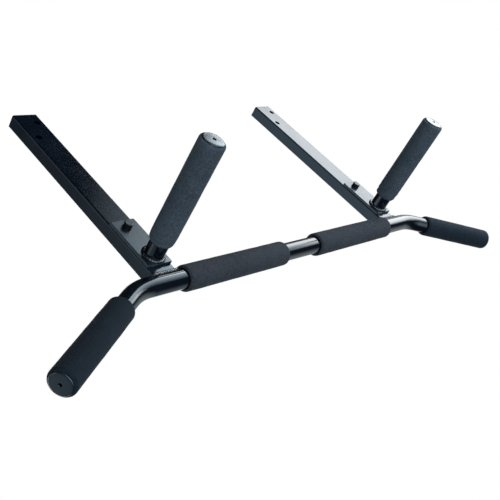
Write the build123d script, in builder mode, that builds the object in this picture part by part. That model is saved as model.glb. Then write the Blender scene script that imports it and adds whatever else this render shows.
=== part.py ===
"""Beam-mounted pull up bar with two forward handles.

Row frame, millimetres: +X along the bar, +Z up along the two arms towards the
beam, -Y towards the user, where the two handles point. The plane y = 0 is the
back face of both arms, the face that lies against the beam. The origin is
midway between the two upper screw holes, on that plane. Both arms are the same
part, drilled off centre the same way, so the bar's middle is at x = -11.
"""
import math
import os

from build123d import *

os.makedirs("parts", exist_ok=True)

# ---- arms and screw holes -------------------------------------------------
ARM_SPACING = 670.0        # centre to centre of the two arms
ARM_WIDTH = 50.0           # wide face, along X
ARM_DEPTH = 25.0           # narrow side, along Y
ARM_WALL = 2.0
ARM_CORNER_R = 3.0
ARM_TOP = 22.0             # arm end above the upper screw hole
SCREW_HOLE_R = 6.0
SCREW_STAGGER = 11.0       # upper hole right of the arm's centre, lower one left
SCREW_ROW_GAP = 40.0       # from the upper to the lower screw hole
PLUG_FLANGE = 2.0

# ---- bar ------------------------------------------------------------------
BAR_DROP = 396.0           # bar axis below the upper screw holes
BAR_R = 16.0
BAR_WALL = 2.5
BAR_BEND_X = 401.0         # where the straight middle and a bent end meet
BAR_BEND_DEG = 27.0
BAR_BEND_R = 100.0         # centreline radius of the bend
BAR_TIP = 235.5            # from that meeting point to the tube end
FIT_GAP = 0.02             # between a coped end and the bar

# ---- foam sleeves ---------------------------------------------------------
FOAM_R = 21.5
FOAM_BORE_R = 16.1
FOAM_EDGE_R = 4.6
CENTER_GRIP_START = 50.0   # inner end of a centre grip
CENTER_GRIP_END = 304.0    # outer end of a centre grip
END_GRIP_START = 50.0      # measured from the bend's meeting point
HANDLE_GRIP_GAP = 29.0     # bare tube between plate and foam

# ---- handles --------------------------------------------------------------
HANDLE_RISE = 47.0         # handle axis above the bar axis
HANDLE_LENGTH = 217.0      # tube, from the plate's front face
HANDLE_WALL = 2.5
PLATE_THICK = 5.0
PLATE_BOTTOM = 27.0        # plate's lower edge above the bar axis
PLATE_LENGTH = 103.0
PLATE_CORNER_R = 2.5
PLATE_EDGE_R = 1.1

# ---- end caps -------------------------------------------------------------
CAP_R = 17.5
CAP_RIM = 0.9
CAP_DOME = 1.3
CAP_PLUG_LENGTH = 20.0
CAP_HOLE_R = 2.8

# ---- weld beads -----------------------------------------------------------
ARM_BEAD_R = 3.0
RING_BEAD = 4.4

# ---- M8 bolts: one near each plate's top, one inside each handle tube -------
BOLT_X = -2.0              # upper bolt's sideways offset from the arm's centre
BOLT_RISE = 113.5          # upper bolt above the bar axis
BOLT_R = 4.0
BOLT_HOLE_R = 4.5
BOLT_LENGTH = 20.0
HEAD_AF = 13.0
HEAD_HEIGHT = 5.3
WASHER_R = 8.0
WASHER_THICK = 1.6
SPRING_R = 7.3
SPRING_THICK = 2.0
NUT_HEIGHT = 6.5
THREAD_GAP = 0.05

# ---- derived --------------------------------------------------------------
MID_X = -SCREW_STAGGER               # middle of the bar
HALF = ARM_SPACING / 2
BAR_Y = -BAR_R                       # the bar's back is flush with the arms'
BAR_Z = -BAR_DROP
ARM_FRONT = -ARM_DEPTH
PLATE_FRONT = ARM_FRONT - PLATE_THICK
PLATE_MID_Z = BAR_Z + PLATE_BOTTOM + PLATE_LENGTH / 2
HANDLE_Z = BAR_Z + HANDLE_RISE
HANDLE_TIP_Y = PLATE_FRONT - HANDLE_LENGTH
NUT_Y = ARM_FRONT + ARM_WALL
LEFT_X = MID_X - HALF                # centre of the left arm
RIGHT_X = MID_X + HALF
BOLT_SPOTS = [(LEFT_X + BOLT_X, BAR_Z + BOLT_RISE), (LEFT_X, HANDLE_Z),
              (RIGHT_X + BOLT_X, BAR_Z + BOLT_RISE), (RIGHT_X, HANDLE_Z)]

BEND = math.radians(BAR_BEND_DEG)
BEND_TANGENT = BAR_BEND_R * math.tan(BEND / 2)
STRAIGHT = BAR_BEND_X - BEND_TANGENT


def bent_point(side, along):
    """Point on a bent end's axis, measured from the bend's meeting point."""
    return (MID_X + side * (BAR_BEND_X + along * math.cos(BEND)), BAR_Y,
            BAR_Z - along * math.sin(BEND))


def bent_plane(side, along):
    """Plane across a bent end, its normal pointing out along the tube."""
    return Plane(origin=bent_point(side, along), x_dir=(0, 1, 0),
                 z_dir=(side * math.cos(BEND), 0, -math.sin(BEND)))


def arm_x(side):
    """Centre of the left (-1) or right (1) arm."""
    return MID_X + side * HALF


def bar_plane(x, side):
    """Plane across the straight bar, its normal pointing to +X or -X."""
    return Plane(origin=(x, BAR_Y, BAR_Z), x_dir=(0, 1, 0), z_dir=(side, 0, 0))


def handle_plane(side, y):
    """Plane across a handle, its normal pointing forward along -Y."""
    return Plane(origin=(arm_x(side), y, HANDLE_Z), x_dir=(1, 0, 0),
                 z_dir=(0, -1, 0))


def front_plane(x, y, z):
    return Plane(origin=(x, y, z), x_dir=(1, 0, 0), z_dir=(0, -1, 0))


def back_plane(x, y, z):
    return Plane(origin=(x, y, z), x_dir=(-1, 0, 0), z_dir=(0, 1, 0))


def arm_plane(side, z):
    return Plane(origin=(arm_x(side), -ARM_DEPTH / 2, z), x_dir=(1, 0, 0),
                 z_dir=(0, 0, 1))


# ---- bar: straight middle, both ends bent down ------------------------------
with BuildPart() as main_bar:
    with BuildLine() as bar_path:
        p0 = bent_point(-1, BAR_TIP)
        p1 = bent_point(-1, BEND_TANGENT)
        p2 = (MID_X - STRAIGHT, BAR_Y, BAR_Z)
        p3 = (MID_X + STRAIGHT, BAR_Y, BAR_Z)
        p4 = bent_point(1, BEND_TANGENT)
        p5 = bent_point(1, BAR_TIP)
        Line(p0, p1)
        TangentArc(p1, p2, tangent=(math.cos(BEND), 0, math.sin(BEND)))
        Line(p2, p3)
        TangentArc(p3, p4, tangent=(1, 0, 0))
        Line(p4, p5)
    with BuildSketch(bent_plane(-1, BAR_TIP)):
        Circle(BAR_R)
        Circle(BAR_R - BAR_WALL, mode=Mode.SUBTRACT)
    sweep(path=bar_path.wires()[0])
main_bar.part.label = "main_bar"
export_step(main_bar.part, "parts/main_bar.step")


# ---- arms: rectangular tube, coped over the bar ----------------------------
def build_arm(side):
    with BuildPart() as arm:
        with BuildSketch(arm_plane(side, BAR_Z + 4.0)):
            RectangleRounded(ARM_WIDTH, ARM_DEPTH, ARM_CORNER_R)
            RectangleRounded(ARM_WIDTH - 2 * ARM_WALL, ARM_DEPTH - 2 * ARM_WALL,
                             ARM_CORNER_R - ARM_WALL, mode=Mode.SUBTRACT)
        extrude(amount=ARM_TOP - BAR_Z - 4.0)
        with BuildSketch(bar_plane(arm_x(side) - ARM_WIDTH, 1)):
            Circle(BAR_R + FIT_GAP)
        extrude(amount=2 * ARM_WIDTH, mode=Mode.SUBTRACT)
        with BuildSketch(front_plane(arm_x(side) + SCREW_STAGGER, 1, 0)):
            Circle(SCREW_HOLE_R)
        extrude(amount=ARM_DEPTH + 2, mode=Mode.SUBTRACT)
        with BuildSketch(front_plane(arm_x(side) - SCREW_STAGGER, 1,
                                     -SCREW_ROW_GAP)):
            Circle(SCREW_HOLE_R)
        extrude(amount=ARM_DEPTH + 2, mode=Mode.SUBTRACT)
        with BuildSketch(front_plane(arm_x(side) + BOLT_X, NUT_Y + 1,
                                     BAR_Z + BOLT_RISE)):
            Circle(BOLT_HOLE_R)
        extrude(amount=ARM_WALL + 2, mode=Mode.SUBTRACT)
        with BuildSketch(front_plane(arm_x(side), NUT_Y + 1, HANDLE_Z)):
            Circle(BOLT_HOLE_R)
        extrude(amount=ARM_WALL + 2, mode=Mode.SUBTRACT)
    return arm


left_arm = build_arm(-1)
left_arm.part.label = "left_arm"
export_step(left_arm.part, "parts/left_arm.step")

right_arm = build_arm(1)
right_arm.part.label = "right_arm"
export_step(right_arm.part, "parts/right_arm.step")


# ---- plastic plug in the top of each arm -----------------------------------
def build_plug(side):
    with BuildPart() as plug:
        with BuildSketch(arm_plane(side, ARM_TOP)):
            RectangleRounded(ARM_WIDTH, ARM_DEPTH, ARM_CORNER_R)
        extrude(amount=PLUG_FLANGE)
        top = plug.faces().sort_by(Axis.Z)[-1]
        fillet(top.edges(), 0.9)
        with BuildSketch(arm_plane(side, ARM_TOP - 12.0)):
            RectangleRounded(ARM_WIDTH - 2 * ARM_WALL - 0.4,
                             ARM_DEPTH - 2 * ARM_WALL - 0.4, 1.0)
            RectangleRounded(ARM_WIDTH - 2 * ARM_WALL - 4.4,
                             ARM_DEPTH - 2 * ARM_WALL - 4.4, 1.0,
                             mode=Mode.SUBTRACT)
        extrude(amount=12.0)
    return plug


left_arm_plug = build_plug(-1)
left_arm_plug.part.label = "left_arm_plug"
export_step(left_arm_plug.part, "parts/left_arm_plug.step")

right_arm_plug = build_plug(1)
right_arm_plug.part.label = "right_arm_plug"
export_step(right_arm_plug.part, "parts/right_arm_plug.step")

# ---- weld bead around the foot of each arm ---------------------------------
FOOT_Y = ARM_FRONT - BAR_Y                        # arm front face from the bar axis
FOOT_Z = math.sqrt(BAR_R ** 2 - FOOT_Y ** 2)
FRONT_ANGLE = math.degrees(math.atan2(FOOT_Z, FOOT_Y))
BACK_ANGLE = 20.0


def build_arm_weld(side):
    xc = arm_x(side)
    with BuildPart() as bead:
        with BuildSketch(Plane(origin=(xc - ARM_WIDTH / 2, BAR_Y + FOOT_Y,
                                       BAR_Z + FOOT_Z),
                               x_dir=(0, 1, 0), z_dir=(1, 0, 0))):
            Circle(ARM_BEAD_R)
        extrude(amount=ARM_WIDTH)
        for edge in (-1, 1):
            with Locations((xc + edge * ARM_WIDTH / 2, BAR_Y + FOOT_Y,
                            BAR_Z + FOOT_Z)):
                Sphere(ARM_BEAD_R)
            with BuildSketch(Plane(origin=(xc + edge * ARM_WIDTH / 2, BAR_Y,
                                           BAR_Z),
                                   x_dir=(0, FOOT_Y, FOOT_Z),
                                   z_dir=(0, FOOT_Z, -FOOT_Y))):
                with Locations((BAR_R, 0)):
                    Circle(ARM_BEAD_R)
            revolve(axis=Axis((0, BAR_Y, BAR_Z), (-1, 0, 0)),
                    revolution_arc=FRONT_ANGLE - BACK_ANGLE)
        with BuildSketch(bar_plane(xc - ARM_WIDTH, 1)):
            Circle(BAR_R + FIT_GAP)
        extrude(amount=2 * ARM_WIDTH, mode=Mode.SUBTRACT)
        with BuildSketch(arm_plane(side, BAR_Z - 30)):
            RectangleRounded(ARM_WIDTH + 0.02, ARM_DEPTH + 0.02,
                             ARM_CORNER_R + 0.01)
        extrude(amount=80, mode=Mode.SUBTRACT)
        with BuildSketch(back_plane(xc, 0, BAR_Z)):
            Rectangle(2 * ARM_WIDTH, 100)
        extrude(amount=20, mode=Mode.SUBTRACT)
    return bead


left_arm_weld = build_arm_weld(-1)
left_arm_weld.part.label = "left_arm_weld"
export_step(left_arm_weld.part, "parts/left_arm_weld.step")

right_arm_weld = build_arm_weld(1)
right_arm_weld.part.label = "right_arm_weld"
export_step(right_arm_weld.part, "parts/right_arm_weld.step")


# ---- handle plate, tube and ring weld --------------------------------------
def build_plate(side):
    with BuildPart() as plate:
        with BuildSketch(front_plane(arm_x(side), ARM_FRONT, PLATE_MID_Z)):
            RectangleRounded(ARM_WIDTH, PLATE_LENGTH, PLATE_CORNER_R)
        extrude(amount=PLATE_THICK)
        front = plate.faces().sort_by(Axis.Y)[0]
        fillet(front.edges(), PLATE_EDGE_R)
        with BuildSketch(front_plane(arm_x(side) + BOLT_X, ARM_FRONT + 1,
                                     BAR_Z + BOLT_RISE)):
            Circle(BOLT_HOLE_R)
        extrude(amount=PLATE_THICK + 2, mode=Mode.SUBTRACT)
        with BuildSketch(front_plane(arm_x(side), ARM_FRONT + 1, HANDLE_Z)):
            Circle(BOLT_HOLE_R)
        extrude(amount=PLATE_THICK + 2, mode=Mode.SUBTRACT)
    return plate


left_handle_plate = build_plate(-1)
left_handle_plate.part.label = "left_handle_plate"
export_step(left_handle_plate.part, "parts/left_handle_plate.step")

right_handle_plate = build_plate(1)
right_handle_plate.part.label = "right_handle_plate"
export_step(right_handle_plate.part, "parts/right_handle_plate.step")


def build_handle_tube(side):
    with BuildPart() as tube:
        with BuildSketch(handle_plane(side, PLATE_FRONT)):
            Circle(BAR_R)
            Circle(BAR_R - HANDLE_WALL, mode=Mode.SUBTRACT)
        extrude(amount=HANDLE_LENGTH)
    return tube


left_handle_tube = build_handle_tube(-1)
left_handle_tube.part.label = "left_handle_tube"
export_step(left_handle_tube.part, "parts/left_handle_tube.step")

right_handle_tube = build_handle_tube(1)
right_handle_tube.part.label = "right_handle_tube"
export_step(right_handle_tube.part, "parts/right_handle_tube.step")


def build_ring_weld(side):
    with BuildPart() as ring:
        with BuildSketch(Plane(origin=(arm_x(side), PLATE_FRONT, HANDLE_Z),
                               x_dir=(1, 0, 0), z_dir=(0, 0, 1))):
            with BuildLine():
                inner = BAR_R + FIT_GAP
                Line((inner, 0), (inner, -RING_BEAD))
                ThreePointArc((inner, -RING_BEAD),
                              (inner + 0.6 * RING_BEAD, -0.66 * RING_BEAD),
                              (inner + RING_BEAD, 0))
                Line((inner + RING_BEAD, 0), (inner, 0))
            make_face()
        revolve(axis=Axis((arm_x(side), 0, HANDLE_Z), (0, -1, 0)),
                revolution_arc=360)
    return ring


left_handle_weld = build_ring_weld(-1)
left_handle_weld.part.label = "left_handle_weld"
export_step(left_handle_weld.part, "parts/left_handle_weld.step")

right_handle_weld = build_ring_weld(1)
right_handle_weld.part.label = "right_handle_weld"
export_step(right_handle_weld.part, "parts/right_handle_weld.step")


# ---- foam sleeves ----------------------------------------------------------
def build_sleeve(plane, length):
    """Foam sleeve along the plane's normal, its outer ends rounded."""
    with BuildPart() as sleeve:
        with BuildSketch(plane):
            Circle(FOAM_R)
            Circle(FOAM_BORE_R, mode=Mode.SUBTRACT)
        extrude(amount=length)
        rims = sleeve.edges().filter_by(GeomType.CIRCLE).group_by(
            lambda e: round(e.radius, 3))[-1]
        fillet(rims, FOAM_EDGE_R)
    return sleeve


left_center_grip = build_sleeve(bar_plane(MID_X - CENTER_GRIP_END, 1),
                                CENTER_GRIP_END - CENTER_GRIP_START)
left_center_grip.part.label = "left_center_grip"
export_step(left_center_grip.part, "parts/left_center_grip.step")

right_center_grip = build_sleeve(bar_plane(MID_X + CENTER_GRIP_START, 1),
                                 CENTER_GRIP_END - CENTER_GRIP_START)
right_center_grip.part.label = "right_center_grip"
export_step(right_center_grip.part, "parts/right_center_grip.step")

left_end_grip = build_sleeve(bent_plane(-1, END_GRIP_START),
                             BAR_TIP - END_GRIP_START)
left_end_grip.part.label = "left_end_grip"
export_step(left_end_grip.part, "parts/left_end_grip.step")

right_end_grip = build_sleeve(bent_plane(1, END_GRIP_START),
                              BAR_TIP - END_GRIP_START)
right_end_grip.part.label = "right_end_grip"
export_step(right_end_grip.part, "parts/right_end_grip.step")

left_handle_grip = build_sleeve(handle_plane(-1, PLATE_FRONT - HANDLE_GRIP_GAP),
                                HANDLE_LENGTH - HANDLE_GRIP_GAP)
left_handle_grip.part.label = "left_handle_grip"
export_step(left_handle_grip.part, "parts/left_handle_grip.step")

right_handle_grip = build_sleeve(handle_plane(1, PLATE_FRONT - HANDLE_GRIP_GAP),
                                 HANDLE_LENGTH - HANDLE_GRIP_GAP)
right_handle_grip.part.label = "right_handle_grip"
export_step(right_handle_grip.part, "parts/right_handle_grip.step")


# ---- push-in end caps ------------------------------------------------------
def build_cap(plane):
    """Domed cap: rim and dome outside the tube, hollow plug inside it."""
    bore = BAR_R - BAR_WALL
    side_plane = Plane(origin=plane.origin, x_dir=plane.x_dir,
                       z_dir=-plane.y_dir)
    with BuildPart() as cap:
        with BuildSketch(side_plane):
            with BuildLine():
                Polyline((CAP_HOLE_R, -CAP_PLUG_LENGTH * 0.15),
                         (bore - 2.2, -CAP_PLUG_LENGTH * 0.15),
                         (bore - 2.2, -CAP_PLUG_LENGTH),
                         (bore - 0.6, -CAP_PLUG_LENGTH),
                         (bore - 0.1, -CAP_PLUG_LENGTH * 0.6),
                         (bore - 0.1, 0),
                         (CAP_R, 0),
                         (CAP_R, CAP_RIM))
                ThreePointArc((CAP_R, CAP_RIM),
                              (CAP_R * 0.97, CAP_RIM + CAP_DOME * 0.34),
                              (CAP_R * 0.88, CAP_RIM + CAP_DOME * 0.56))
                ThreePointArc((CAP_R * 0.88, CAP_RIM + CAP_DOME * 0.56),
                              (CAP_R * 0.50, CAP_RIM + CAP_DOME * 0.88),
                              (CAP_HOLE_R, CAP_RIM + CAP_DOME))
                Line((CAP_HOLE_R, CAP_RIM + CAP_DOME),
                     (CAP_HOLE_R, -CAP_PLUG_LENGTH * 0.15))
            make_face()
        revolve(axis=Axis(plane.origin, plane.z_dir), revolution_arc=360)
    return cap


left_bar_cap = build_cap(bent_plane(-1, BAR_TIP))
left_bar_cap.part.label = "left_bar_cap"
export_step(left_bar_cap.part, "parts/left_bar_cap.step")

right_bar_cap = build_cap(bent_plane(1, BAR_TIP))
right_bar_cap.part.label = "right_bar_cap"
export_step(right_bar_cap.part, "parts/right_bar_cap.step")

left_handle_cap = build_cap(handle_plane(-1, HANDLE_TIP_Y))
left_handle_cap.part.label = "left_handle_cap"
export_step(left_handle_cap.part, "parts/left_handle_cap.step")

right_handle_cap = build_cap(handle_plane(1, HANDLE_TIP_Y))
right_handle_cap.part.label = "right_handle_cap"
export_step(right_handle_cap.part, "parts/right_handle_cap.step")

# ---- plate fasteners: four identical sets -----------------------------------
HEAD_Y = PLATE_FRONT - WASHER_THICK - SPRING_THICK    # underside of each head

with BuildPart() as plate_bolts:
    for x, z in BOLT_SPOTS:
        with BuildSketch(front_plane(x, HEAD_Y, z)):
            RegularPolygon(HEAD_AF / 2, 6, major_radius=False)
        extrude(amount=HEAD_HEIGHT)
        with BuildSketch(back_plane(x, HEAD_Y, z)):
            Circle(BOLT_R)
        extrude(amount=BOLT_LENGTH)
        with BuildSketch(Plane(origin=(x, HEAD_Y - HEAD_HEIGHT, z),
                               x_dir=(1, 0, 0), z_dir=(0, 0, 1))):
            with BuildLine():
                Polyline((HEAD_AF / 2 - 0.4, -0.001), (HEAD_AF, -0.001),
                         (HEAD_AF, HEAD_AF / 2 * 0.58),
                         (HEAD_AF / 2 - 0.4, -0.001))
            make_face()
        revolve(axis=Axis((x, 0, z), (0, -1, 0)), revolution_arc=360,
                mode=Mode.SUBTRACT)
plate_bolts.part.label = "plate_bolts"
export_step(plate_bolts.part, "parts/plate_bolts.step")

with BuildPart() as plate_bolt_washers:
    for x, z in BOLT_SPOTS:
        with BuildSketch(front_plane(x, PLATE_FRONT, z)):
            Circle(WASHER_R)
            Circle(BOLT_R + 0.25, mode=Mode.SUBTRACT)
        extrude(amount=WASHER_THICK)
plate_bolt_washers.part.label = "plate_bolt_washers"
export_step(plate_bolt_washers.part, "parts/plate_bolt_washers.step")

with BuildPart() as spring_washers:
    for x, z in BOLT_SPOTS:
        with BuildSketch(front_plane(x, PLATE_FRONT - WASHER_THICK, z)):
            Circle(SPRING_R)
            Circle(BOLT_R + 0.25, mode=Mode.SUBTRACT)
            with Locations((SPRING_R, 0)):
                Rectangle(2 * SPRING_R - 4, 1.4, rotation=12,
                          mode=Mode.SUBTRACT)
        extrude(amount=SPRING_THICK)
spring_washers.part.label = "spring_washers"
export_step(spring_washers.part, "parts/spring_washers.step")

with BuildPart() as weld_nuts:
    for x, z in BOLT_SPOTS:
        with BuildSketch(back_plane(x, NUT_Y, z)):
            RegularPolygon(HEAD_AF / 2, 6, major_radius=False)
            Circle(BOLT_R + THREAD_GAP, mode=Mode.SUBTRACT)
        extrude(amount=NUT_HEIGHT)
weld_nuts.part.label = "weld_nuts"
export_step(weld_nuts.part, "parts/weld_nuts.step")
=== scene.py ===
import math

import bmesh
import bpy
from mathutils import Matrix, Vector, noise


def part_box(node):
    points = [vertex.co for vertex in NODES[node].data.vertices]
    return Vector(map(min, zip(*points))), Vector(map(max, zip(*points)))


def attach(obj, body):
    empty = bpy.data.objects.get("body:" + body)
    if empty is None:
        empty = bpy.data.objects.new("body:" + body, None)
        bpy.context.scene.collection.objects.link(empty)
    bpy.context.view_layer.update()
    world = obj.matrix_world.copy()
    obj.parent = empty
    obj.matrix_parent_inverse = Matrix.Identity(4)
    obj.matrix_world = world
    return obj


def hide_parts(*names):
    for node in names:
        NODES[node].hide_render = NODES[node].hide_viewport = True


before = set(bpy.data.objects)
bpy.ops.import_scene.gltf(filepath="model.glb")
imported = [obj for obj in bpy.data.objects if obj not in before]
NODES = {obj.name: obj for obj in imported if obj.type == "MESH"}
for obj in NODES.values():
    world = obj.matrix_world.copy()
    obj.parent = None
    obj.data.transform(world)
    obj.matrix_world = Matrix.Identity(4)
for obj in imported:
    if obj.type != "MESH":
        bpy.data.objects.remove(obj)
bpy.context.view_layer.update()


# ---------------------------------------------------------------- materials
class Tree:
    """Small helper that builds a material's node tree."""

    def __init__(self, name):
        self.mat = bpy.data.materials.new(name)
        self.mat.use_nodes = True
        self.nodes = self.mat.node_tree.nodes
        self.links = self.mat.node_tree.links
        self.nodes.clear()
        self.out = self.nodes.new("ShaderNodeOutputMaterial")
        self.bsdf = self.nodes.new("ShaderNodeBsdfPrincipled")
        self.link(self.bsdf.outputs[0], self.out.inputs[0])
        self.coord = self.nodes.new("ShaderNodeTexCoord").outputs["Object"]

    def link(self, a, b):
        self.links.new(a, b)

    def noise(self, scale, detail=3.0, rough=0.55, vector=None):
        n = self.nodes.new("ShaderNodeTexNoise")
        n.inputs["Scale"].default_value = scale
        n.inputs["Detail"].default_value = detail
        n.inputs["Roughness"].default_value = rough
        self.link(vector or self.coord, n.inputs["Vector"])
        return n.outputs["Fac"]

    def voronoi(self, scale, feature="F1", vector=None):
        n = self.nodes.new("ShaderNodeTexVoronoi")
        n.feature = feature
        n.inputs["Scale"].default_value = scale
        self.link(vector or self.coord, n.inputs["Vector"])
        return n.outputs["Distance"]

    def stretch(self, sx, sy, sz):
        n = self.nodes.new("ShaderNodeMapping")
        n.inputs["Scale"].default_value = (sx, sy, sz)
        self.link(self.coord, n.inputs["Vector"])
        return n.outputs[0]

    def ramp(self, fac, a, b, ca, cb):
        n = self.nodes.new("ShaderNodeValToRGB")
        e = n.color_ramp.elements
        e[0].position, e[1].position = a, b
        e[0].color, e[1].color = (*ca, 1), (*cb, 1)
        self.link(fac, n.inputs[0])
        return n.outputs[0]

    def span(self, value, a, b, c, d, smooth=False):
        n = self.nodes.new("ShaderNodeMapRange")
        n.clamp = True
        if smooth:
            n.interpolation_type = "SMOOTHSTEP"
        for i, v in zip((1, 2, 3, 4), (a, b, c, d)):
            n.inputs[i].default_value = v
        self.link(value, n.inputs[0])
        return n.outputs[0]

    def math(self, op, a, b=None):
        n = self.nodes.new("ShaderNodeMath")
        n.operation = op
        for i, v in enumerate((a, b)):
            if v is None:
                continue
            if isinstance(v, (int, float)):
                n.inputs[i].default_value = v
            else:
                self.link(v, n.inputs[i])
        return n.outputs[0]

    def mix(self, fac, a, b):
        n = self.nodes.new("ShaderNodeMix")
        n.data_type = "RGBA"
        self.link(fac, n.inputs["Factor"])
        for sock, v in ((n.inputs[6], a), (n.inputs[7], b)):
            if isinstance(v, tuple):
                sock.default_value = (*v, 1)
            else:
                self.link(v, sock)
        return n.outputs[2]

    def xyz(self):
        n = self.nodes.new("ShaderNodeSeparateXYZ")
        self.link(self.coord, n.inputs[0])
        return n.outputs

    def bump(self, heights):
        """Stacks (height socket, strength, distance in metres)."""
        normal = None
        for h, strength, dist in heights:
            n = self.nodes.new("ShaderNodeBump")
            n.inputs["Strength"].default_value = strength
            n.inputs["Distance"].default_value = dist
            self.link(h, n.inputs["Height"])
            if normal is not None:
                self.link(normal, n.inputs["Normal"])
            normal = n.outputs[0]
        self.link(normal, self.bsdf.inputs["Normal"])

    def set(self, **values):
        names = {
            "metallic": "Metallic", "ior": "IOR", "spec": "Specular IOR Level",
            "coat": "Coat Weight", "coat_rough": "Coat Roughness",
            "sheen": "Sheen Weight", "sheen_rough": "Sheen Roughness",
            "rough": "Roughness",
        }
        for k, v in values.items():
            self.bsdf.inputs[names[k]].default_value = v


def paint(name, base, worn, rough, coat, edge=None, tint=(0.75, 0.9, 1.0), peel_depth=0.05):
    """Gloss black powder coat: orange peel, smudged gloss, rubbed edges."""
    t = Tree(name)
    haze = t.noise(26, 4, 0.6)
    peel = t.noise(620, 2, 0.5)
    fleck = t.noise(2400, 2, 0.6)
    tone = t.ramp(haze, 0.3, 0.72, base, tuple(c * 1.5 for c in base))
    r = t.span(haze, 0.3, 0.7, rough[0], rough[1])
    if edge is not None:
        mask = edge(t)
        patch = t.span(t.noise(210, 5, 0.7), 0.5, 0.64, 0.0, 1.0)
        wear = t.math("MULTIPLY", mask, patch)
        tone = t.mix(wear, tone, worn)
        r = t.math("ADD", r, t.math("MULTIPLY", wear, 0.22))
    t.link(tone, t.bsdf.inputs["Base Color"])
    t.link(r, t.bsdf.inputs["Roughness"])
    t.set(ior=1.52, coat=coat, coat_rough=0.08)
    t.bsdf.inputs["Specular Tint"].default_value = tint + (1,)
    t.bump([(peel, peel_depth, 0.00016), (fleck, 0.6 * peel_depth, 0.00004)])
    return t.mat


MID_X = (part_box("main_bar")[0].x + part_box("main_bar")[1].x) / 2


def rect_edges(xc, hx, yc, hy, band):
    """Mask along the four long corners of an upright rectangular tube."""

    def build(t):
        x, y, _z = t.xyz()
        u = t.math("ABSOLUTE", t.math("SUBTRACT", t.math("ABSOLUTE", t.math("SUBTRACT", x, MID_X)), xc))
        w = t.math("ABSOLUTE", t.math("SUBTRACT", y, yc))
        return t.math(
            "MULTIPLY",
            t.span(u, hx - band, hx - 0.2 * band, 0, 1, True),
            t.span(w, hy - band, hy - 0.2 * band, 0, 1, True),
        )

    return build


def plate_edges(xc, hx, zc, hz, band):
    """Mask along a plate's outline."""

    def build(t):
        x, _y, z = t.xyz()
        u = t.math("ABSOLUTE", t.math("SUBTRACT", t.math("ABSOLUTE", t.math("SUBTRACT", x, MID_X)), xc))
        w = t.math("ABSOLUTE", t.math("SUBTRACT", z, zc))
        return t.math(
            "MAXIMUM",
            t.span(u, hx - band, hx - 0.2 * band, 0, 1, True),
            t.span(w, hz - band, hz - 0.2 * band, 0, 1, True),
        )

    return build


def foam_material(name, lo, hi, along):
    """Closed-cell foam: open pores, speckled skin, faint mottling, matt."""
    t = Tree(name)
    mottle = t.noise(52, 5, 0.62)
    blotch = t.noise(13, 2, 0.5)
    speck = t.noise(340, 3, 0.75)
    grain = t.noise(900, 3, 0.7)
    cells = t.voronoi(560)
    drawn = t.noise(150, 3, 0.6, t.stretch(*along))
    a = t.ramp(mottle, 0.3, 0.72, lo, hi)
    b = t.ramp(speck, 0.38, 0.62, tuple(c * 0.48 for c in lo), tuple(c * 1.35 for c in hi))
    both = t.mix(t.span(cells, 0.0, 0.7, 0.7, 0.4), a, b)
    both = t.mix(t.span(blotch, 0.45, 0.7, 0.0, 0.25), both, tuple(c * 1.3 for c in hi))
    t.link(both, t.bsdf.inputs["Base Color"])
    t.link(t.span(speck, 0.35, 0.65, 0.8, 0.98), t.bsdf.inputs["Roughness"])
    t.set(ior=1.4, spec=0.14, sheen=0.05, sheen_rough=0.5)
    t.bsdf.inputs["Sheen Tint"].default_value = (0.62, 0.72, 0.85, 1)
    t.bump([(drawn, 0.25, 0.0006), (cells, 0.6, 0.0006), (grain, 0.5, 0.0003)])
    return t.mat


def plastic(name, base, rough, coat):
    """Moulded plastic with a fine spark texture and faint flow marks."""
    t = Tree(name)
    flow = t.noise(55, 3, 0.5)
    spark = t.noise(1300, 3, 0.65)
    t.link(t.ramp(flow, 0.3, 0.7, base, tuple(c * 1.6 for c in base)), t.bsdf.inputs["Base Color"])
    t.link(t.span(spark, 0.3, 0.7, rough[0], rough[1]), t.bsdf.inputs["Roughness"])
    t.set(ior=1.54, coat=coat, coat_rough=0.12)
    t.bsdf.inputs["Specular Tint"].default_value = (0.62, 0.86, 1.0, 1)
    t.bump([(flow, 0.03, 0.0002), (spark, 0.0012, 0.00005)])
    return t.mat


def fastener(name, base, rough, metallic):
    """Blackened or zinc plated steel with tool marks."""
    t = Tree(name)
    marks = t.noise(300, 4, 0.7, t.stretch(1, 6, 1))
    stain = t.noise(90, 4, 0.6)
    t.link(t.ramp(stain, 0.3, 0.75, base, tuple(min(1, c * 1.8) for c in base)), t.bsdf.inputs["Base Color"])
    t.link(t.span(marks, 0.3, 0.7, rough[0], rough[1]), t.bsdf.inputs["Roughness"])
    t.set(metallic=metallic, ior=1.5)
    if not metallic:
        t.bsdf.inputs["Specular Tint"].default_value = (0.65, 0.87, 1.0, 1)
    t.bump([(marks, 0.2, 0.00012)])
    return t.mat


BLACK = (0.0016, 0.0030, 0.0062)
WORN = (0.03, 0.033, 0.038)
arm_lo, arm_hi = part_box("right_arm")
arm_c, arm_h = (arm_lo + arm_hi) / 2, (arm_hi - arm_lo) / 2
plate_lo, plate_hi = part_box("right_handle_plate")
plate_c, plate_h = (plate_lo + plate_hi) / 2, (plate_hi - plate_lo) / 2

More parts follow.
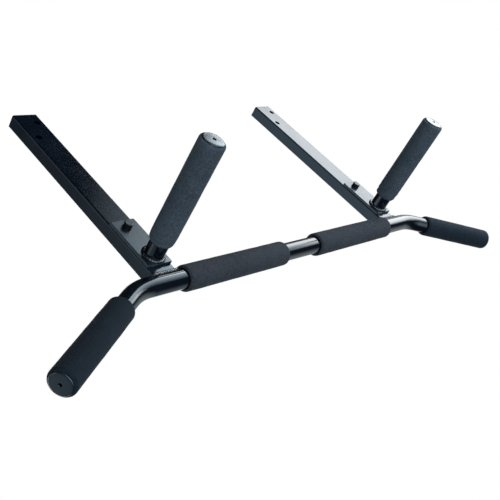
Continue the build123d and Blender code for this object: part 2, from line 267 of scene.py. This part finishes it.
M = {
    "bar": paint("bar_gloss_black", BLACK, WORN, (0.10, 0.17), 0.3),
    "tube": paint("handle_gloss_black", BLACK, WORN, (0.12, 0.2), 0.2),
    "arm": paint("arm_satin_black", (0.0006, 0.0025, 0.0066), WORN, (0.15, 0.2), 0.0,
                 rect_edges(arm_c.x - MID_X, arm_h.x, arm_c.y, arm_h.y, 0.0022),
                 (0.66, 0.84, 1.0), 0.009),
    "plate": paint("plate_satin_black", (0.0030, 0.0060, 0.0105), WORN, (0.28, 0.35), 0.2,
                   plate_edges(plate_c.x - MID_X, plate_h.x, plate_c.z, plate_h.z, 0.0016),
                   (0.62, 0.86, 1.0), 0.04),
    "weld": paint("weld_painted", (0.0020, 0.0035, 0.0070), WORN, (0.14, 0.24), 0.4),
    "foam_bar": foam_material("foam_bar", (0.024, 0.027, 0.035), (0.037, 0.041, 0.052), (0.25, 1, 1)),
    # darker copy of the same black foam: painted shade on the end grips
    "foam_end_painted_shade": foam_material("foam_end_painted_shade", (0.007, 0.012, 0.019), (0.011, 0.018, 0.027), (0.4, 1, 1)),
    # lighter copy of the same black foam: painted light on the handle grips
    "foam_handle_painted_light": foam_material("foam_handle_painted_light", (0.035, 0.050, 0.067), (0.057, 0.073, 0.094), (1, 0.25, 1)),
    "cap": plastic("cap_moulded", (0.0040, 0.0085, 0.0140), (0.27, 0.30), 0.35),
    "plug": plastic("plug_moulded", (0.008, 0.009, 0.011), (0.4, 0.55), 0.0),
    "bolt": fastener("bolt_black_oxide", (0.0025, 0.0032, 0.0045), (0.3, 0.45), 0.0),
    "nut": fastener("nut_zinc", (0.42, 0.43, 0.45), (0.25, 0.45), 1.0),
}


def dress(node, mat):
    o = NODES[node]
    o.data.materials.clear()
    o.data.materials.append(M[mat])


for side in ("left", "right"):
    dress(side + "_arm", "arm")
    dress(side + "_arm_plug", "plug")
    dress(side + "_handle_plate", "plate")
    dress(side + "_handle_tube", "tube")
dress("main_bar", "bar")
dress("plate_bolts", "bolt")
dress("plate_bolt_washers", "bolt")
dress("spring_washers", "bolt")
dress("weld_nuts", "nut")


# ------------------------------------------------------------------ geometry
def new_object(name, bm, mat, smooth=True):
    mesh = bpy.data.meshes.new(name)
    bm.normal_update()
    bm.to_mesh(mesh)
    bm.free()
    for p in mesh.polygons:
        p.use_smooth = smooth
    mesh.materials.append(M[mat])
    o = bpy.data.objects.new(name, mesh)
    bpy.context.scene.collection.objects.link(o)
    return o


def axes_for(direction):
    w = Vector(direction).normalized()
    u = Vector((0, 1, 0)) if abs(w.y) < 0.5 else Vector((1, 0, 0))
    u = (u - w * u.dot(w)).normalized()
    return u, w.cross(u), w


def lathe(name, origin, direction, profile, seg, mat, shape=None):
    """Turns a closed profile of (radius, height) points about an axis."""
    o = Vector(origin)
    u, v, w = axes_for(direction)
    bm = bmesh.new()
    rings = []
    for i, (r, h) in enumerate(profile):
        ring = []
        for k in range(seg):
            a = 2 * math.pi * k / seg
            rr, hh = shape(i, r, h, a) if shape else (r, h)
            ring.append(bm.verts.new(o + u * (rr * math.cos(a)) + v * (rr * math.sin(a)) + w * hh))
        rings.append(ring)
    n = len(rings)
    for i in range(n):
        a, b = rings[i], rings[(i + 1) % n]
        for k in range(seg):
            bm.faces.new((a[k], a[(k + 1) % seg], b[(k + 1) % seg], b[k]))
    bmesh.ops.recalc_face_normals(bm, faces=bm.faces)
    return new_object(name, bm, mat)


FOAM_R = (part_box("left_center_grip")[1].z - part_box("left_center_grip")[0].z) / 2
BORE_R = 0.01612
TUBE_R = (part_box("left_handle_tube")[1].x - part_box("left_handle_tube")[0].x) / 2


def sleeve(name, start, end, mat, seed, crumple=0.0, squeeze=0.0):
    """Foam sleeve with soft rounded ends, uneven skin and a lipped bore."""
    start, end = Vector(start), Vector(end)
    length = (end - start).length
    er = 0.0046
    outer = []
    for k in range(9):
        a = math.pi / 2 * k / 8
        outer.append((FOAM_R - er + er * math.sin(a), er - er * math.cos(a)))
    rings = max(8, int(length / 0.0026))
    body = [(FOAM_R, er + (length - 2 * er) * k / rings) for k in range(1, rings)]
    far = [(r, length - h) for r, h in reversed(outer)]
    lip = 0.0009
    inner_far = [(BORE_R + 0.0022, length), (BORE_R + 0.0012, length - 0.0002),
                 (BORE_R + 0.0004, length - lip), (BORE_R, length - 2.2 * lip)]
    bore = [(BORE_R, length * f) for f in (0.75, 0.5, 0.25)]
    inner_near = [(r, length - h) for r, h in reversed(inner_far)]
    profile = outer + body + far + inner_far + bore + inner_near
    n_outer = len(outer) + len(body) + len(far)

    def shape(i, r, h, a):
        if i >= n_outer:
            return r, h
        p = Vector((math.cos(a) * 1.3, math.sin(a) * 1.3, h * 38 + seed))
        low = noise.noise(p)
        mid = noise.noise(Vector((math.cos(a) * 4, math.sin(a) * 4, h * 160 + seed * 2)))
        fine = noise.noise(Vector((math.cos(a) * 17, math.sin(a) * 17, h * 800 + seed)))
        d = -0.00018 + 0.00022 * low + 0.00010 * mid + 0.00004 * fine
        near = max(0.0, 1 - h / 0.065)
        if crumple:
            ripple = math.sin(h * 2 * math.pi / 0.0125 + 2.6 * math.sin(a + seed)) * (0.6 + 0.4 * math.cos(a * 2 + seed))
            d += crumple * near * near * ripple
        if squeeze:
            d -= squeeze * math.exp(-((h / 0.011) ** 2)) * (0.75 + 0.25 * math.cos(a + 0.6))
        edge = min(h, length - h)
        dh = 0.0003 * noise.noise(Vector((math.cos(a) * 2, math.sin(a) * 2, seed + (9 if h > length / 2 else 0))))
        dh = dh * max(0.0, 1 - edge / 0.01)
        return r + d * min(1.0, (r - BORE_R) / (FOAM_R - BORE_R)), h + dh

    o = lathe(name, start, end - start, profile, 96, mat, shape)
    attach(o, "root")
    return o


def centre_line(node, direction):
    """Both ends of a straight round node's axis, along a known direction."""
    lo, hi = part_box(node)
    c = (lo + hi) / 2
    d = Vector(direction).normalized()
    ext = hi - lo
    # a tilted cylinder's box spans length*|d| + 2r*sqrt(1-d^2) along each axis
    k = max(range(3), key=lambda i: abs(d[i]))
    length = (ext[k] - 2 * FOAM_R * math.sqrt(max(0.0, 1 - d[k] ** 2))) / abs(d[k])
    return c - d * length / 2, c + d * length / 2, length


bar_lo, bar_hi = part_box("main_bar")
BAR_AXIS_Y = (bar_lo.y + bar_hi.y) / 2
BEND = math.radians(27)

for side, s in (("left", -1), ("right", 1)):
    a, b, _ = centre_line(side + "_center_grip", (s, 0, 0))
    g = sleeve(side + "_center_foam", a, b, "foam_bar", 3.1 + s)
    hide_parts(side + "_center_grip")
    a, b, _ = centre_line(side + "_end_grip", (s * math.cos(BEND), 0, -math.sin(BEND)))
    # end grips take the darker foam copy, which is painted shade
    g = sleeve(side + "_end_foam", a, b, "foam_end_painted_shade", 7.7 + s)
    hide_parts(side + "_end_grip")
    a, b, _ = centre_line(side + "_handle_grip", (0, -1, 0))
    # handle grips take the lighter foam copy, which is painted light
    g = sleeve(side + "_handle_foam", a, b, "foam_handle_painted_light", 12.4 + s,
               crumple=0.00075, squeeze=0.0016)
    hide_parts(side + "_handle_grip")


def cap_piece(name, node, base, direction):
    """Push-in cap: rounded rim, shallow groove, low dome and pin hole."""
    top = 0.0023
    rim = [(0.0112, -0.018), (0.0128, -0.018), (0.01335, -0.012), (0.01335, -0.0002),
           (0.0168, 0.0), (0.0173, 0.00012), (0.0175, 0.00035), (0.01748, 0.0006),
           (0.0173, 0.00095), (0.0170, 0.00125), (0.0166, 0.0015), (0.0161, 0.0017),
           (0.0157, 0.00178), (0.0154, 0.00178), (0.0152, 0.00172), (0.0150, 0.00172),
           (0.0148, 0.0018)]
    dome = []
    for k in range(1, 13):
        r = 0.0032 + (0.0148 - 0.0032) * (1 - k / 12)
        dome.append((r, 0.0018 + (top - 0.0018) * (1 - (r / 0.0148) ** 2.0)))
    z = dome[-1][1]
    hole = [(0.0029, z - 0.0002), (0.0027, z - 0.0006), (0.0026, -0.001), (0.0100, -0.0024),
            (0.0112, -0.004)]
    o = lathe(name, base, direction, rim + dome + hole, 72, "cap")
    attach(o, "root")
    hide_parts(node)
    return o


for side, s in (("left", -1), ("right", 1)):
    lo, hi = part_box(side + "_handle_tube")
    cx, cz = (lo.x + hi.x) / 2, (lo.z + hi.z) / 2
    cap_piece(side + "_handle_end", side + "_handle_cap", (cx, lo.y, cz), (0, -1, 0))
    _a, tip, _l = centre_line(side + "_end_grip", (s * math.cos(BEND), 0, -math.sin(BEND)))
    cap_piece(side + "_bar_end", side + "_bar_cap", tip, (s * math.cos(BEND), 0, -math.sin(BEND)))


def bead(name, path, radius, pitch, mat, seed, closed=False, lean=None):
    """Weld bead: overlapping rounded ripples laid along a path."""
    pts = [Vector(p) for p in path]
    if closed:
        pts.append(pts[0])
    # resample evenly
    dist = [0.0]
    for a, b in zip(pts, pts[1:]):
        dist.append(dist[-1] + (b - a).length)
    total = dist[-1]
    count = int(total / (pitch / 7))
    line = []
    j = 0
    for i in range(count + (0 if closed else 1)):
        d = total * i / count
        while j < len(dist) - 2 and dist[j + 1] < d:
            j += 1
        f = (d - dist[j]) / max(1e-9, dist[j + 1] - dist[j])
        line.append((pts[j].lerp(pts[j + 1], f), d))
    n = len(line)
    bm = bmesh.new()
    rings = []
    seg = 16
    for i, (p, d) in enumerate(line):
        a = line[(i - 1) % n if closed else max(0, i - 1)][0]
        b = line[(i + 1) % n if closed else min(n - 1, i + 1)][0]
        w = (b - a).normalized()
        u = lean(p) if lean else Vector((0, 0, 1))
        u = (u - w * u.dot(w)).normalized()
        v = w.cross(u)
        phase = (d / pitch + 0.18 * noise.noise(Vector((d * 90, seed, 0)))) % 1.0
        scale = 0.80 + 0.20 * (1 - phase) ** 0.7 + 0.07 * noise.noise(Vector((d * 130, 0, seed)))
        end = 1.0
        if not closed:
            t = min(i, n - 1 - i) / 5.0
            end = math.sqrt(min(1.0, 0.1 + t))
        ring = []
        for k in range(seg):
            ang = 2 * math.pi * k / seg
            rr = radius * scale * end
            back = 0.35 * pitch * math.cos(ang)      # crescent-shaped ripples
            q = p + u * (rr * math.cos(ang)) + v * (rr * math.sin(ang)) - w * (back * 0.5)
            ring.append(bm.verts.new(q))
        rings.append(ring)
    last = n if closed else n - 1
    for i in range(last):
        a, b = rings[i], rings[(i + 1) % n]
        for k in range(seg):
            bm.faces.new((a[k], a[(k + 1) % seg], b[(k + 1) % seg], b[k]))
    if not closed:
        bm.faces.new(rings[0][::-1])
        bm.faces.new(rings[-1])
    bmesh.ops.recalc_face_normals(bm, faces=bm.faces)
    o = new_object(name, bm, mat)
    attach(o, "root")
    return o


BAR_R = (bar_hi.y - bar_lo.y) / 2
BAR_Z = bar_hi.z - BAR_R
for side, s in (("left", -1), ("right", 1)):
    lo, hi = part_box(side + "_arm")
    foot_y = lo.y - BAR_AXIS_Y
    foot_z = math.sqrt(BAR_R ** 2 - foot_y ** 2)
    start = math.atan2(foot_z, foot_y)
    r = BAR_R + 0.0002
    path = []
    for k in range(9):
        a = math.radians(20) + (start - math.radians(20)) * k / 8
        path.append((lo.x - 0.0002, BAR_AXIS_Y + r * math.cos(a), BAR_Z + r * math.sin(a)))
    y0, z0 = path[-1][1], path[-1][2]
    for k in range(1, 12):
        path.append((lo.x + (hi.x - lo.x) * k / 12, y0 - 0.0002, z0))
    for k in range(9):
        a = start + (math.radians(20) - start) * k / 8
        path.append((hi.x + 0.0002, BAR_AXIS_Y + r * math.cos(a), BAR_Z + r * math.sin(a)))
    w = bead(side + "_foot_bead", path, 0.0029, 0.0036, "weld", 2.0 + s,
             lean=lambda p: Vector((0, p.y - BAR_AXIS_Y, p.z - BAR_Z)))
    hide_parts(side + "_arm_weld")

    lo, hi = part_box(side + "_handle_tube")
    cx, cz = (lo.x + hi.x) / 2, (lo.z + hi.z) / 2
    yb = hi.y
    path = [(cx + (TUBE_R + 0.0008) * math.cos(2 * math.pi * k / 90), yb - 0.0006,
             cz + (TUBE_R + 0.0008) * math.sin(2 * math.pi * k / 90)) for k in range(90)]
    w = bead(side + "_base_bead", path, 0.0036, 0.0040, "weld", 5.0 + s, closed=True,
             lean=lambda p: Vector((0, -1, 0)))
    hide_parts(side + "_handle_weld")

# ---------------------------------------------------------------- stage, light
floor_bm = bmesh.new()
bmesh.ops.create_grid(floor_bm, x_segments=4, y_segments=4, size=80)
floor_mesh = bpy.data.meshes.new("floor")
floor_bm.to_mesh(floor_mesh)
floor_bm.free()
floor = bpy.data.objects.new("floor", floor_mesh)
floor.location = (0, 0, -2.5)
bpy.context.scene.collection.objects.link(floor)
ft = Tree("floor_pale")
ft.link(ft.ramp(ft.noise(3, 3, 0.5), 0.3, 0.7, (0.80, 0.80, 0.80), (0.83, 0.83, 0.83)), ft.bsdf.inputs["Base Color"])
ft.set(rough=0.9, spec=0.1)
ft.bsdf.inputs["Emission Color"].default_value = (0.93, 0.965, 1.0, 1)
ft.bsdf.inputs["Emission Strength"].default_value = 0.42
floor_mesh.materials.append(ft.mat)
floor.visible_glossy = False
floor.visible_diffuse = False
floor.visible_shadow = False

world = bpy.data.worlds.new("studio")
bpy.context.scene.world = world
world.use_nodes = True
wn, wl = world.node_tree.nodes, world.node_tree.links
wn.clear()
w_out = wn.new("ShaderNodeOutputWorld")
w_co = wn.new("ShaderNodeTexCoord").outputs["Generated"]

# soft lights at infinity: direction, outer cosine, inner cosine, strength
LOBES = [
    ((0.93, -0.22, 0.30), 0.90, 1.0, 1.0),
    ((0.88, 0.33, -0.30), 0.86, 1.0, 0.62),
    ((-0.25, -0.66, -0.71), 0.62, 1.0, 3.0),
    ((0.25, 0.85, 0.40), 0.66, 1.0, 2.1),
    ((-0.70, 0.72, -0.10), 0.75, 1.0, 0.40),
    ((-0.88, 0.25, 0.40), 0.885, 1.0, 1.3),
]
BASE = 0.03
total = None
for d, c0, c1, power in LOBES:
    n = wn.new("ShaderNodeVectorMath")
    n.operation = "DOT_PRODUCT"
    wl.new(w_co, n.inputs[0])
    n.inputs[1].default_value = Vector(d).normalized()
    m = wn.new("ShaderNodeMapRange")
    m.interpolation_type = "SMOOTHSTEP"
    for i, v in zip((1, 2, 3, 4), (c0, c1, 0.0, power)):
        m.inputs[i].default_value = v
    wl.new(n.outputs["Value"], m.inputs[0])
    add = wn.new("ShaderNodeMath")
    add.operation = "ADD"
    wl.new(m.outputs[0], add.inputs[0])
    if total is None:
        add.inputs[1].default_value = BASE
    else:
        wl.new(total, add.inputs[1])
    total = add.outputs[0]
soft = wn.new("ShaderNodeBackground")
soft.inputs["Color"].default_value = (0.86, 0.955, 1.0, 1)
wl.new(total, soft.inputs["Strength"])
plain = wn.new("ShaderNodeBackground")
plain.inputs["Color"].default_value = (1, 1, 1, 1)
plain.inputs["Strength"].default_value = 1.0
mixer = wn.new("ShaderNodeMixShader")
wl.new(wn.new("ShaderNodeLightPath").outputs["Is Camera Ray"], mixer.inputs[0])
wl.new(soft.outputs[0], mixer.inputs[1])
wl.new(plain.outputs[0], mixer.inputs[2])
wl.new(mixer.outputs[0], w_out.inputs[0])


def softbox(name, where, target, size, power, colour=(1.0, 1.0, 1.0)):
    light = bpy.data.lights.new(name, "AREA")
    light.shape = "RECTANGLE"
    light.size, light.size_y = size
    light.energy = power
    light.color = colour
    o = bpy.data.objects.new(name, light)
    o.location = where
    o.rotation_mode = "QUATERNION"
    o.rotation_quaternion = (Vector(target) - Vector(where)).to_track_quat("-Z", "Y")
    o.visible_camera = False
    bpy.context.scene.collection.objects.link(o)
    return o


softbox("key", (-1.4, -2.6, 0.6), (0, -0.1, -0.35), (1.6, 1.6), 3)
softbox("back", (0.8, 2.6, 0.9), (0, -0.1, -0.35), (2.2, 2.2), 26)
# two tall panels in front of the bar, each graded from top to bottom
PANELS = [
    ("near", 0.45, 0.80, [(0.45, 0.10, 4.3), (0.10, -0.25, 3.7), (-0.25, -0.50, 2.6),
                          (-0.50, -0.72, 1.6), (-0.72, -0.95, 0.8)]),
    ("cap", 0.80, 1.35, [(0.80, 0.45, 0.9), (0.45, 0.10, 8.4), (0.10, -0.25, 4.2), (-0.25, -0.50, 2.8),
                         (-0.50, -0.72, 1.7), (-0.72, -0.95, 0.8)]),
    ("far", 1.35, 3.25, [(1.50, 0.55, 4.1), (0.55, 0.00, 5.0), (0.00, -0.45, 5.6),
                         (-0.45, -0.75, 5.0), (-0.75, -0.95, 2.4), (-0.95, -1.15, 1.1)]),
]
for tag, x0, x1, strips in PANELS:
    for k, (z1, z0, radiance) in enumerate(strips):
        at = ((x0 + x1) / 2, -1.0, (z0 + z1) / 2)
        softbox("%s_%d" % (tag, k), at, (at[0], 0.0, at[2]), (x1 - x0, z1 - z0),
                radiance * math.pi * (x1 - x0) * (z1 - z0),
                (1.0, 1.0, 1.0) if tag == "far" else (0.84, 0.94, 1.0))

# ---------------------------------------------------------------- camera
RIGHT = Vector((0.65316443, -0.42382320, -0.62749512))
DOWN = Vector((-0.10591161, 0.76940674, -0.62991745))
FORWARD = Vector((0.74977261, 0.47789869, 0.45766132))
cam_data = bpy.data.cameras.new("camera")
cam = bpy.data.objects.new("camera", cam_data)
rot = Matrix((RIGHT, -DOWN, -FORWARD)).transposed()
cam.matrix_world = Matrix.Translation((-1.212913, -0.735029, -0.931705)) @ rot.to_4x4()
cam_data.sensor_width = 36
cam_data.lens = 824.961 / 500 * 36
cam_data.shift_x = 0.064
cam_data.shift_y = -0.10
cam_data.dof.use_dof = False
cam_data.clip_start, cam_data.clip_end = 0.02, 60
bpy.context.scene.collection.objects.link(cam)
bpy.context.scene.camera = cam
bpy.context.scene.view_settings.view_transform = "Standard"
